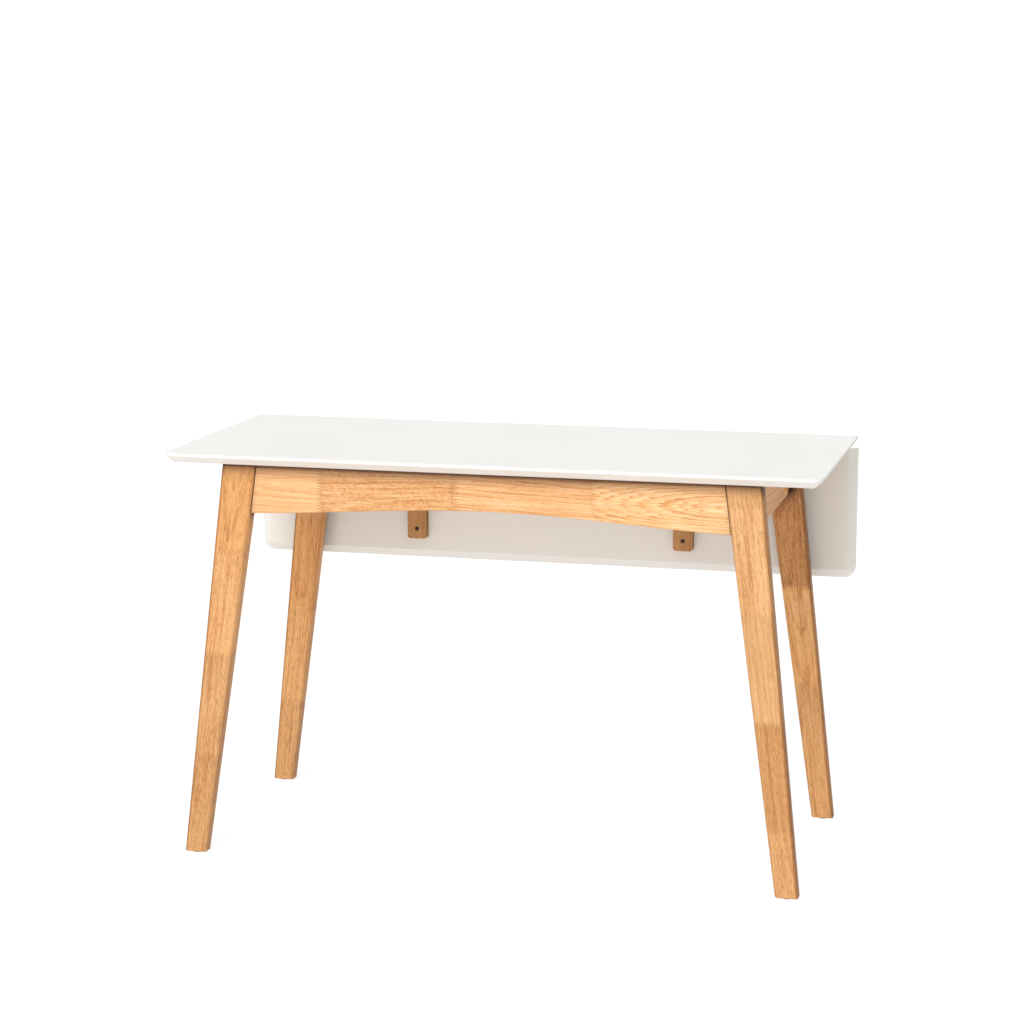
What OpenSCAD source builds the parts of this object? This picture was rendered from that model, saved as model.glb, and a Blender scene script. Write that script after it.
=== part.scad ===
// Drop-leaf table: a rectangular top on a splayed four-legged frame, with one leaf hinged along
// the rear edge. The leaf is drawn hanging. Front is -Y, the leaf hangs at +Y, and the floor is
// z = 0. The origin lies on the floor under the middle of the whole table.

/* [Table] */
// Height of the table, floor to top surface
table_h = 750; // [720:1:780]
// Length of the top and of the leaf
table_l = 1200; // [1100:10:1400]
// Depth of the fixed top, front to back
top_d = 530; // [480:10:600]
// Depth of the drop leaf
leaf_d = 252; // [220:1:300]

/* [Boards] */
// Thickness of the top and of the leaf
board_t = 18; // [16:1:22]
// Height of the upright band around the board's edge, above the chamfer
edge_band = 5; // [3:0.5:8]
// How far the underside chamfer runs in from the edge
chamfer_in = 16; // [10:1:20]
// Plan radius of the board's free corners
corner_r = 22; // [18:1:40]
// Gap between the top and the raised leaf
board_gap = 1; // [0.5:0.5:2]

/* [Legs] */
// Leg width along the table's length, at the top
leg_w_top = 66; // [56:1:76]
// Leg width along the table's length, at the floor
leg_w_foot = 42; // [34:1:50]
// Leg thickness front to back, at the top
leg_t_top = 32; // [28:1:38]
// Leg thickness front to back, at the floor
leg_t_foot = 26; // [22:1:32]
// Leg centre from the middle of the table, along its length, at the top
leg_x_top = 460; // [420:1:480]
// Leg centre from the middle of the table, along its length, at the floor
leg_x_foot = 552; // [500:1:570]
// Leg centre in from the front or rear edge of the top, at the top
leg_in_top = 40; // [34:1:50]
// Leg centre in from the front or rear edge of the top, at the floor
leg_in_foot = 16; // [14:1:40]
// Height of the glide under each foot
glide_h = 1.5; // [1:0.5:4]
// Radius of the glide under each foot
glide_r = 10; // [8:0.5:12]

/* [Aprons] */
// Apron height at the legs
apron_h = 90; // [80:1:110]
// Apron thickness
apron_t = 20; // [18:1:24]
// How far the long aprons' lower edge rises in the middle
apron_rise = 23; // [0:1:30]
// Outer face of the long aprons, in from the edge of the top
apron_in = 26; // [25:1:34]
// Outer face of the end aprons, from the middle of the table
end_apron_x = 478; // [470:1:486]

/* [Battens] */
// Distance of each batten from the middle of the table
batten_x = 268; // [200:1:330]
// Width of a batten
batten_w = 38; // [34:1:44]
// Thickness of a batten
batten_t = 18; // [16:1:18]
// Distance of a batten's end from the leaf's free edge
batten_end_in = 42; // [30:1:60]
// Distance of the outer batten screw from the batten's end
batten_screw_in = 20; // [15:1:30]

/* [Hinges] */
// Hinge axis below the underside of the boards
pivot_drop = 4; // [4:0.5:5]
// Hinge axis in from the rear edge of the top
pivot_in = 3; // [3:0.5:4]
// Distance of the outer back-flap hinges from the middle of the table
hinge_x = 540; // [530:1:555]
// Length of a back-flap hinge
hinge_l = 50; // [40:1:60]
// Radius of a back-flap hinge's barrel
barrel_r = 3.6; // [3:0.1:3.7]
// Radius of a back-flap hinge's pin
hinge_pin_r = 1.75; // [1.5:0.05:2]
// Thickness of the hinge plates and lock brackets
plate_t = 2; // [1.5:0.5:2]
// Radius of the lock hinge's pivot pin
lock_pin_r = 2; // [1.8:0.1:2.1]
// Radius of the spring bolt
bolt_r = 2; // [1.8:0.1:2.1]

/* [Fasteners] */
// Shank radius of a wood screw
screw_r = 2; // [1.5:0.25:2.5]
// Head radius of a countersunk wood screw
screw_head_r = 3.8; // [3:0.1:4]
// Depth of a countersunk head
screw_head_h = 1.8; // [1.5:0.1:2]
// Radius of a hanger bolt
hanger_r = 4; // [3:0.5:4]
// Radius of a dowel
dowel_r = 4; // [3:0.5:4]
// Length of a dowel
dowel_l = 30; // [24:1:36]

/* [Hidden] */
$fn = 48;

// Running clearance on a pin, and the gap between faces that slide past each other
pin_play = 0.05;
face_gap = 0.3;
// A cutter runs this far past the face that it cuts
past = 1;

// The whole table reaches from the front edge to the hanging leaf's outer face
top_y = -(board_gap + board_t) / 2;
front_y = top_y - top_d / 2;
rear_y = top_y + top_d / 2;
under_z = table_h - board_t;
pivot_y = rear_y - pivot_in;
pivot_z = under_z - pivot_drop;
// The raised leaf starts this far behind the hinge axis
leaf_start = pivot_in + board_gap;

// Legs: where the centre and the two inner faces are at a height
leg_y_top = top_d / 2 - leg_in_top;
leg_y_foot = top_d / 2 - leg_in_foot;
function down(z) = (under_z - z) / under_z;
function leg_x(z) = leg_x_top + (leg_x_foot - leg_x_top) * down(z);
function leg_y(z) = leg_y_top + (leg_y_foot - leg_y_top) * down(z);
function leg_w(z) = leg_w_top + (leg_w_foot - leg_w_top) * down(z);
function leg_t(z) = leg_t_top + (leg_t_foot - leg_t_top) * down(z);
function leg_inner_x(z) = leg_x(z) - leg_w(z) / 2;
function leg_inner_y(z) = leg_y(z) - leg_t(z) / 2;

// Aprons
apron_z = under_z - apron_h;
apron_out_y = top_d / 2 - apron_in;
apron_back_y = apron_out_y - apron_t;
end_back_x = end_apron_x - apron_t;
// Half the wave length of the long aprons' curved lower edge, and its number of steps
wave_half = 520;
wave_steps = 48;
function apron_edge_z(x) = apron_z + apron_rise * (1 + cos(180 * x / wave_half)) / 2
    - apron_rise * (1 + cos(180 * leg_inner_x(apron_z) / wave_half)) / 2;

// Corner blocks: a slanting block, its two long faces at 45 degrees to the aprons
block_drop = 5;
block_h = 70;
block_t = 28;
block_reach = 53;
block_foot = block_t * sqrt(2);
block_x = end_back_x - block_reach;
block_screw_z = [under_z - 22, under_z - 62];
block_screw_x = block_x - 17;
block_screw_depth = 22;
block_head_h = 2.5;
block_head_r = 4;
block_screw_l = 24;
// Hanger bolts cross the block at its middle
hanger_z = [under_z - 32, under_z - 52];
hanger_in_leg = 26;
hanger_face_x = end_back_x - block_reach / 2;
hanger_face_y = apron_back_y - block_reach / 2;
hanger_gap = (leg_inner_y(hanger_z[0]) - hanger_face_y) * sqrt(2);
washer_t = 2;
washer_r = 9;
nut_h = 6.5;
nut_r = 7.5;
hanger_tail = 4;
dowel_z = [under_z - 16, under_z - 72];

// Brackets that hold the top: middle and ends of the long aprons, middle of the end aprons
bracket_x = [-300, 0, 300];
bracket_w = 30;
bracket_leg = 22;
bracket_hole = 13;
bracket_screw_l = 15;

// Back-flap hinges: five knuckles, three on the top's plate and two on the leaf's
hinge_xs = [-hinge_x, 0, hinge_x];
knuckle_l = hinge_l / 5;
plate_reach = 22;
plate_start = 4.5;
knuckle_link = 6;
hinge_screw_l = 14;
hinge_screw_x = 16;
hinge_screw_far = 17;
hinge_screw_near = 12;

// Lock hinges: an arm that straddles the batten's end, between the ears of a bracket
batten_start = 30;
batten_far = leaf_start + leaf_d - batten_end_in;
batten_face = pivot_drop - batten_t;
arm_z = batten_face - plate_t;
arm_x = batten_w / 2;
cheek_l = 60;
cheek_r = pivot_drop - face_gap;
web_start = 26;
web_end = 100;
ear_x = arm_x + plate_t + 0.5;
ear_end_x = ear_x + plate_t;
ear_front = -16;
ear_back = pivot_drop - 0.8;
ear_low = -17;
flange_x = 46;
flange_back = pivot_in - 0.5;
strip_back = -17.5;
flange_holes = [[31, -14], [40, -6]];
lock_screw_l = 14;
arm_screw_y = [40, 65, 90];
arm_screw_l = 15;
bolt_y = -0.3;
bolt_z = -11;
housing_l = 9;
housing_r = 3.5;
housing_neck_r = 2.8;
knob_l = 9;
knob_r = 3.4;
bolt_hole_r = 2.3;
batten_bore_r = 4.5;
batten_bore_d = 2;
batten_screw_y = [batten_far - batten_screw_in, 125];
batten_screw_l = 28;
bumper_r = 6;
bumper_z = 56;

// Colours
white = "#f4f3ef";
pale_wood = "#e0b07a";
dark_wood = "#b98550";
steel = "#b9bcc0";
black = "#2b2b2b";

// ---------- shared shapes ----------

// A board, its joint edge on the X axis, its free edge at -Y and its upper face at z = 0.
// The chamfer runs round the free edge and both ends.
module board(depth) {
    translate([0, 0, -edge_band])
        linear_extrude(edge_band)
            board_outline(depth);
    difference() {
        intersection() {
            rotate([90, 0, 90])
                translate([0, 0, -table_l / 2])
                    linear_extrude(table_l)
                        polygon([[0, -edge_band], [-depth, -edge_band],
                            [chamfer_in - depth, -board_t], [0, -board_t]]);
            rotate([90, 0, 0])
                linear_extrude(depth)
                    polygon([[-table_l / 2, -edge_band], [table_l / 2, -edge_band],
                        [table_l / 2 - chamfer_in, -board_t], [chamfer_in - table_l / 2, -board_t]]);
        }
        for (side = [-1, 1])
            translate([side * table_l / 2, -depth, -board_t / 2])
                cube([2 * corner_r, 2 * corner_r, 2 * board_t], center = true);
    }
    for (side = [-1, 1])
        translate([side * (table_l / 2 - corner_r), corner_r - depth, -board_t])
            cylinder(h = board_t - edge_band, r1 = corner_r - chamfer_in, r2 = corner_r);
}

module board_outline(depth) {
    translate([-table_l / 2, corner_r - depth])
        square([table_l, depth - corner_r]);
    translate([corner_r - table_l / 2, -depth])
        square([table_l - 2 * corner_r, depth]);
    for (side = [-1, 1])
        translate([side * (table_l / 2 - corner_r), corner_r - depth])
            circle(corner_r);
}

// A countersunk screw, its head's face at z = 0 and its point at -Z
module screw(length, r = screw_r, head_r = screw_head_r, head_h = screw_head_h) {
    translate([0, 0, -head_h])
        cylinder(h = head_h, r1 = r, r2 = head_r);
    translate([0, 0, -length])
        cylinder(h = length - head_h, r = r);
}

// Puts a shape at the hinge axis, as the leaf stands when it is raised
module at_pivot(x = 0) {
    translate([x, pivot_y, pivot_z])
        children();
}

// Swings a shape drawn beside the hinge axis from the raised leaf to the hanging leaf
module hanging(x = 0) {
    at_pivot(x)
        rotate([-90, 0, 0])
            children();
}

// A rod along X through the hinge axis
module rod(x, length, r) {
    translate([x, 0, 0])
        rotate([0, 90, 0])
            cylinder(h = length, r = r);
}

// Repeats a shape at the four corners, drawn at +X, +Y from the middle of the top
module four_corners() {
    translate([0, top_y, 0])
        for (sx = [0, 1], sy = [0, 1])
            mirror([sx, 0, 0])
                mirror([0, sy, 0])
                    children();
}

module one_corner(sx, sy) {
    translate([0, top_y, 0])
        mirror([sx < 0 ? 1 : 0, 0, 0])
            mirror([0, sy < 0 ? 1 : 0, 0])
                children();
}

// ---------- top ----------

module main_top() {
    color(white)
        difference() {
            translate([0, rear_y, table_h])
                board(top_d);
            top_bracket_screw_up_set();
            hinge_top_screw_set();
            lock_bracket_screw_set();
        }
}

// ---------- frame ----------

// A long apron at +Y, from leg to leg, with its curved lower edge
module long_apron() {
    half = leg_inner_x(apron_z);
    top_half = leg_inner_x(under_z);
    translate([0, apron_out_y, 0])
        rotate([90, 0, 0])
            linear_extrude(apron_t)
                polygon(concat([[top_half, under_z], [-top_half, under_z]],
                    [for (i = [0:wave_steps]) let (x = half * (2 * i / wave_steps - 1))
                        [x, apron_edge_z(x)]]));
}

// An end apron at +X, from leg to leg
module end_apron() {
    rotate([90, 0, 90])
        translate([0, 0, end_back_x])
            linear_extrude(apron_t)
                polygon([[leg_inner_y(under_z), under_z], [-leg_inner_y(under_z), under_z],
                    [-leg_inner_y(apron_z), apron_z], [leg_inner_y(apron_z), apron_z]]);
}

module frame_hardware_cuts() {
    apron_dowel_set();
    block_screw_set();
    top_bracket_screw_side_set();
}

module front_apron() {
    color(pale_wood)
        difference() {
            translate([0, top_y, 0])
                mirror([0, 1, 0])
                    long_apron();
            frame_hardware_cuts();
        }
}

module rear_apron() {
    color(pale_wood)
        difference() {
            translate([0, top_y, 0])
                long_apron();
            frame_hardware_cuts();
        }
}

module left_apron() {
    color(pale_wood)
        difference() {
            translate([0, top_y, 0])
                mirror([1, 0, 0])
                    end_apron();
            frame_hardware_cuts();
        }
}

module right_apron() {
    color(pale_wood)
        difference() {
            translate([0, top_y, 0])
                end_apron();
            frame_hardware_cuts();
        }
}

// A leg at +X, +Y: the shape that both its front outline and its side outline allow
module leg_shape() {
    intersection() {
        translate([0, leg_y_foot + leg_t_top, 0])
            rotate([90, 0, 0])
                linear_extrude(leg_y_foot)
                    polygon([[leg_inner_x(under_z), under_z], [leg_inner_x(under_z) + leg_w_top, under_z],
                        [leg_inner_x(glide_h) + leg_w(glide_h), glide_h], [leg_inner_x(glide_h), glide_h]]);
        rotate([90, 0, 90])
            linear_extrude(leg_x_foot + leg_w_top)
                polygon([[leg_inner_y(under_z), under_z], [leg_inner_y(under_z) + leg_t_top, under_z],
                    [leg_inner_y(glide_h) + leg_t(glide_h), glide_h], [leg_inner_y(glide_h), glide_h]]);
    }
}

module leg(sx, sy) {
    color(pale_wood)
        difference() {
            one_corner(sx, sy)
                leg_shape();
            apron_dowel_set();
            hanger_bolt_set();
        }
}

module leg_front_left() { leg(-1, -1); }
module leg_front_right() { leg(1, -1); }
module leg_rear_left() { leg(-1, 1); }
module leg_rear_right() { leg(1, 1); }

module foot_glides() {
    color(black)
        four_corners()
            translate([leg_x(0), leg_y(0), 0])
                cylinder(h = glide_h, r = glide_r);
}

// ---------- corner joints ----------

// A corner block at +X, +Y, behind the leg's inner corner
module block_shape() {
    translate([0, 0, under_z - block_drop - block_h])
        linear_extrude(block_h)
            polygon([[block_x, apron_back_y], [block_x - block_foot, apron_back_y],
                [end_back_x, apron_back_y - block_reach - block_foot],
                [end_back_x, apron_back_y - block_reach]]);
}

module corner_block(sx, sy) {
    color(dark_wood)
        difference() {
            one_corner(sx, sy)
                block_shape();
            hanger_bolt_set();
            block_screw_set(block_t);
        }
}

module corner_block_front_left() { corner_block(-1, -1); }
module corner_block_front_right() { corner_block(1, -1); }
module corner_block_rear_left() { corner_block(-1, 1); }
module corner_block_rear_right() { corner_block(1, 1); }

// Screws through each block into both its aprons. The head can be drawn longer, as a counterbore.
module block_screw_set(head_l = block_head_h) {
    four_corners()
        for (z = block_screw_z) {
            translate([block_screw_x, apron_back_y, z])
                rotate([90, 0, 0])
                    block_screw(head_l);
            translate([end_back_x, apron_back_y - (end_back_x - block_screw_x), z])
                rotate([0, -90, 0])
                    block_screw(head_l);
        }
}

// A pan-head screw that stands on the apron's inner face at z = 0, its point at -Z
module block_screw(head_l) {
    shoulder = block_screw_depth / 2;
    translate([0, 0, shoulder])
        cylinder(h = head_l, r = block_head_r);
    translate([0, 0, shoulder - block_screw_l])
        cylinder(h = block_screw_l, r = screw_r);
}

module corner_block_screws() {
    color(steel)
        block_screw_set();
}

// A frame with +Z pointing into the leg, standing on the block's face that looks at the leg
module at_hanger() {
    four_corners()
        for (z = hanger_z)
            translate([hanger_face_x, hanger_face_y, z])
                rotate([0, 90, 45])
                    children();
}

module hanger_bolt_set() {
    tail = block_t + washer_t + nut_h + hanger_tail;
    at_hanger()
        translate([0, 0, -tail])
            cylinder(h = tail + hanger_gap + hanger_in_leg, r = hanger_r);
}

module hanger_bolts() {
    color(steel)
        hanger_bolt_set();
}

module hanger_washers() {
    color(steel)
        at_hanger()
            translate([0, 0, -block_t - washer_t])
                difference() {
                    cylinder(h = washer_t, r = washer_r);
                    translate([0, 0, -past])
                        cylinder(h = washer_t + 2 * past, r = hanger_r);
                }
}

module hanger_nuts() {
    color(steel)
        at_hanger()
            translate([0, 0, -block_t - washer_t - nut_h])
                difference() {
                    cylinder(h = nut_h, r = nut_r, $fn = 6);
                    translate([0, 0, -past])
                        cylinder(h = nut_h + 2 * past, r = hanger_r);
                }
}

module apron_dowel_set() {
    four_corners()
        for (z = dowel_z) {
            translate([leg_inner_x(z) - dowel_l / 2, apron_out_y - apron_t / 2, z])
                rotate([0, 90, 0])
                    cylinder(h = dowel_l, r = dowel_r);
            translate([end_back_x + apron_t / 2, leg_inner_y(z) + dowel_l / 2, z])
                rotate([90, 0, 0])
                    cylinder(h = dowel_l, r = dowel_r);
        }
}

module apron_dowels() {
    color(dark_wood)
        apron_dowel_set();
}

// ---------- brackets between frame and top ----------

// Places a bracket drawn with its upright flange on the plane y = 0, reaching to -Y
module at_brackets() {
    translate([0, top_y, under_z]) {
        for (x = bracket_x, turn = [0, 180])
            rotate([0, 0, turn])
                translate([x, apron_back_y, 0])
                    children();
        for (turn = [90, -90])
            rotate([0, 0, turn])
                translate([0, end_back_x, 0])
                    children();
    }
}

module bracket_shape() {
    difference() {
        union() {
            translate([-bracket_w / 2, -bracket_leg, -plate_t])
                cube([bracket_w, bracket_leg, plate_t]);
            translate([-bracket_w / 2, -plate_t, -bracket_leg])
                cube([bracket_w, plate_t, bracket_leg]);
        }
        bracket_screw_up();
        bracket_screw_side();
    }
}

module bracket_screw_up() {
    translate([0, -bracket_hole, -plate_t])
        rotate([180, 0, 0])
            screw(bracket_screw_l);
}

module bracket_screw_side() {
    translate([0, -plate_t, -bracket_hole])
        rotate([90, 0, 0])
            screw(bracket_screw_l);
}

module top_bracket_screw_up_set() {
    at_brackets()
        bracket_screw_up();
}

module top_bracket_screw_side_set() {
    at_brackets()
        bracket_screw_side();
}

module top_brackets() {
    color(steel)
        at_brackets()
            bracket_shape();
}

module top_bracket_screws() {
    color(steel) {
        top_bracket_screw_up_set();
        top_bracket_screw_side_set();
    }
}

// ---------- back-flap hinges ----------

// Knuckles number first, first + 2, ... of a hinge, each with its link to the plate at +Y
module knuckles(first, last, bore_r) {
    for (i = [first:2:last]) {
        x = (i - 2.5) * knuckle_l;
        gap = face_gap / 2;
        difference() {
            union() {
                rod(x + gap, knuckle_l - 2 * gap, barrel_r);
                translate([x + gap, 0, 1.2])
                    cube([knuckle_l - 2 * gap, knuckle_link, barrel_r - 1.2]);
            }
            rod(x - past, knuckle_l + 2 * past, bore_r);
        }
    }
}

// A hinge plate that lies under a board from start to its reach, at +Y from the hinge axis
module hinge_plate(start) {
    difference() {
        translate([-hinge_l / 2, start, pivot_drop - plate_t])
            cube([hinge_l, plate_reach - start, plate_t]);
        hinge_screws();
    }
}

module hinge_screws() {
    for (p = [[-hinge_screw_x, hinge_screw_near], [0, hinge_screw_far], [hinge_screw_x, hinge_screw_near]])
        translate([p[0], p[1], pivot_drop - plate_t])
            rotate([180, 0, 0])
                screw(hinge_screw_l);
}

module hinge_top_plates() {
    color(steel)
        for (x = hinge_xs)
            at_pivot(x)
                mirror([0, 1, 0]) {
                    hinge_plate(plate_start);
                    knuckles(0, 4, hinge_pin_r);
                }
}

module hinge_top_screw_set() {
    for (x = hinge_xs)
        at_pivot(x)
            mirror([0, 1, 0])
                hinge_screws();
}

module hinge_top_screws() {
    color(steel)
        hinge_top_screw_set();
}

module hinge_pins() {
    color(steel)
        for (x = hinge_xs)
            at_pivot(x)
                rod(-hinge_l / 2, hinge_l, hinge_pin_r);
}

module hinge_leaf_plates() {
    color(steel)
        for (x = hinge_xs)
            hanging(x) {
                hinge_plate(plate_start);
                knuckles(1, 3, hinge_pin_r + pin_play);
            }
}

module hinge_leaf_screw_set() {
    for (x = hinge_xs)
        hanging(x)
            hinge_screws();
}

module hinge_leaf_screws() {
    color(steel)
        hinge_leaf_screw_set();
}

// ---------- lock hinges ----------

module lock_flange_screws() {
    for (side = [-1, 1], p = flange_holes)
        translate([side * p[0], p[1], pivot_drop - plate_t])
            rotate([180, 0, 0])
                screw(lock_screw_l);
}

// A bracket whose spring bolt is on its +X side
module lock_bracket_shape() {
    difference() {
        union() {
            for (side = [-1, 1]) {
                translate([side > 0 ? ear_x : -ear_end_x, 0, 0])
                    rotate([90, 0, 90])
                        linear_extrude(plate_t)
                            polygon([[ear_front, pivot_drop], [ear_back, pivot_drop],
                                [ear_back, ear_low + 4], [ear_back - 4, ear_low],
                                [ear_back - 8, ear_low], [ear_front, ear_low + 8]]);
                translate([side > 0 ? ear_x : -flange_x, -plate_reach, pivot_drop - plate_t])
                    cube([flange_x - ear_x, plate_reach + flange_back, plate_t]);
            }
            translate([-flange_x, -plate_reach, pivot_drop - plate_t])
                cube([2 * flange_x, plate_reach + strip_back, plate_t]);
        }
        rod(-ear_end_x - past, 2 * (ear_end_x + past), lock_pin_r);
        translate([0, bolt_y, bolt_z])
            rod(ear_x - past, 2 * past + plate_t, housing_neck_r);
        lock_flange_screws();
    }
}

module lock_bracket_left() {
    color(steel)
        at_pivot(-batten_x)
            mirror([1, 0, 0])
                lock_bracket_shape();
}

module lock_bracket_right() {
    color(steel)
        at_pivot(batten_x)
            lock_bracket_shape();
}

module lock_bracket_screw_set() {
    for (side = [-1, 1])
        at_pivot(side * batten_x)
            lock_flange_screws();
}

module lock_bracket_screws() {
    color(steel)
        lock_bracket_screw_set();
}

module lock_pivot_pins() {
    color(steel)
        for (side = [-1, 1])
            at_pivot(side * batten_x)
                rod(-ear_end_x, 2 * ear_end_x, lock_pin_r);
}

module lock_arm_screw_shape() {
    for (y = arm_screw_y)
        translate([0, y, arm_z])
            rotate([180, 0, 0])
                screw(arm_screw_l);
}

// An arm whose lock hole is on its +X side: two cheeks beside the batten and a web on its face
module lock_arm_shape() {
    difference() {
        union() {
            for (x = [-arm_x - plate_t, arm_x])
                translate([x, 0, 0]) {
                    rod(0, plate_t, cheek_r);
                    translate([0, 0, arm_z])
                        cube([plate_t, cheek_l, cheek_r - arm_z]);
                    translate([0, -cheek_r, arm_z])
                        cube([plate_t, cheek_l + cheek_r, -arm_z]);
                }
            translate([-arm_x - plate_t, web_start, arm_z])
                cube([2 * (arm_x + plate_t), web_end - web_start, plate_t]);
        }
        rod(-arm_x - plate_t - past, 2 * (arm_x + plate_t + past), lock_pin_r + pin_play);
        translate([0, bolt_y, bolt_z])
            rod(arm_x - past, plate_t + 2 * past, bolt_hole_r);
        lock_arm_screw_shape();
    }
}

module lock_arm_left() {
    color(steel)
        hanging(-batten_x)
            mirror([1, 0, 0])
                lock_arm_shape();
}

module lock_arm_right() {
    color(steel)
        hanging(batten_x)
            lock_arm_shape();
}

module lock_arm_screw_set() {
    for (side = [-1, 1])
        hanging(side * batten_x)
            lock_arm_screw_shape();
}

module lock_arm_screws() {
    color(steel)
        lock_arm_screw_set();
}

// A spring bolt with its pull knob, drawn on the bracket's +X side
module latch_bolt_shape() {
    tip_x = arm_x + plate_t + face_gap;
    knob_x = ear_end_x + housing_l + face_gap;
    translate([0, bolt_y, bolt_z]) {
        rod(tip_x, knob_x - tip_x, bolt_r);
        rod(knob_x, knob_l, knob_r);
    }
}

module latch_bolt_left() {
    color(steel)
        at_pivot(-batten_x)
            mirror([1, 0, 0])
                latch_bolt_shape();
}

module latch_bolt_right() {
    color(steel)
        at_pivot(batten_x)
            latch_bolt_shape();
}

// The sleeves that the bolts slide in, each pressed into its bracket's ear
module bolt_housings() {
    color(steel)
        for (side = [-1, 1])
            at_pivot(side * batten_x)
                mirror([side < 0 ? 1 : 0, 0, 0])
                    translate([0, bolt_y, bolt_z])
                        difference() {
                            union() {
                                rod(ear_x, plate_t, housing_neck_r);
                                rod(ear_end_x, housing_l, housing_r);
                            }
                            rod(ear_x - past, plate_t + housing_l + 2 * past, bolt_r + pin_play);
                        }
}

// Rubber bumpers on the rear apron, which the hanging arms lean on
module leaf_bumpers() {
    start = top_y + apron_out_y;
    color(black)
        for (side = [-1, 1])
            translate([side * batten_x, start, pivot_z - bumper_z])
                rotate([-90, 0, 0])
                    cylinder(h = pivot_y + arm_z - start - face_gap, r = bumper_r);
}

// ---------- leaf ----------

module drop_leaf() {
    color(white)
        difference() {
            hanging()
                translate([0, leaf_start, pivot_drop + board_t])
                    mirror([0, 1, 0])
                        board(leaf_d);
            batten_screw_set();
            hinge_leaf_screw_set();
        }
}

module leaf_batten(x) {
    color(dark_wood)
        difference() {
            hanging(x)
                translate([-batten_w / 2, batten_start, batten_face])
                    cube([batten_w, batten_far - batten_start, batten_t]);
            batten_screw_set(batten_bore_d + past);
            lock_arm_screw_set();
        }
}

module leaf_batten_left() { leaf_batten(-batten_x); }
module leaf_batten_right() { leaf_batten(batten_x); }

// Screws through the battens into the leaf, each head in a counterbore of the given depth
module batten_screw_set(bore_d = 0) {
    for (side = [-1, 1], y = batten_screw_y)
        hanging(side * batten_x)
            translate([0, y, batten_face + batten_bore_d])
                rotate([180, 0, 0]) {
                    screw(batten_screw_l);
                    if (bore_d > 0)
                        cylinder(h = bore_d, r = batten_bore_r);
                }
}

module batten_screws() {
    color(steel)
        batten_screw_set();
}

main_top();
front_apron();
rear_apron();
left_apron();
right_apron();
leg_front_left();
leg_front_right();
leg_rear_left();
leg_rear_right();
foot_glides();
corner_block_front_left();
corner_block_front_right();
corner_block_rear_left();
corner_block_rear_right();
corner_block_screws();
hanger_bolts();
hanger_washers();
hanger_nuts();
apron_dowels();
top_brackets();
top_bracket_screws();
hinge_top_plates();
hinge_pins();
hinge_top_screws();
lock_bracket_left();
lock_bracket_right();
lock_bracket_screws();
lock_pivot_pins();
bolt_housings();
leaf_bumpers();
drop_leaf();
leaf_batten_left();
leaf_batten_right();
batten_screws();
hinge_leaf_plates();
hinge_leaf_screws();
lock_arm_left();
lock_arm_right();
lock_arm_screws();
latch_bolt_left();
latch_bolt_right();
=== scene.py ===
import math

import bmesh
import bpy
import numpy as np
from mathutils import Matrix, Vector


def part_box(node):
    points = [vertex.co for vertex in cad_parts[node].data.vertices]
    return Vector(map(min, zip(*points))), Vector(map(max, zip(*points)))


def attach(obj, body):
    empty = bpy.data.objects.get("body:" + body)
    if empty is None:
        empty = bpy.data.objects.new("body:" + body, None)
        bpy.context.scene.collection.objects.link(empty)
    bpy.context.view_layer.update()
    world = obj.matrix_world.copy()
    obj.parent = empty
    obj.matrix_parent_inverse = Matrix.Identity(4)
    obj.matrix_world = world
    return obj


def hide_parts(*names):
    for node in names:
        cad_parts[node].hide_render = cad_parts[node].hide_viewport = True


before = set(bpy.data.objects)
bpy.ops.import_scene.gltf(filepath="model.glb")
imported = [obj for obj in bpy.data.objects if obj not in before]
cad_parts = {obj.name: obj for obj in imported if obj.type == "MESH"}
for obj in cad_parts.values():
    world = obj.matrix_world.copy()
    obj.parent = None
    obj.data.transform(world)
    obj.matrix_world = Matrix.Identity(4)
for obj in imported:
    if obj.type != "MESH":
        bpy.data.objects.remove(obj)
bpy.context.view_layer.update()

# ---------------------------------------------------------------- sizes, in metres

BOARD_T = 0.018
BAND = 0.005          # upright band round the edge of a board
CHAMFER_IN = 0.016    # how far the chamfer under it runs in
CORNER_R = 0.022
BOARD_SOFT = 0.0009   # rounding of a board's upper edge
GLIDE_H = 0.0015
LEG_R = 0.006         # rounding along a leg's long edges
FOOT_R = 0.002
APRON_R = 0.0022      # rounding of an apron's lower edges
BATTEN_LOW_R = 0.005  # rounding of a batten's lower corners
BATTEN_HIGH_R = 0.002
BATTEN_SOFT = 0.0009
WELD = 1e-6           # points nearer than this are one point
SAME = 1e-5           # places nearer than this are level with each other

top_low, top_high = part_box("main_top")
leaf_low, leaf_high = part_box("drop_leaf")
UNDER_Z = top_high.z - BOARD_T
MID_Y = (top_low.y + top_high.y) / 2


# ---------------------------------------------------------------- node graphs

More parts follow.
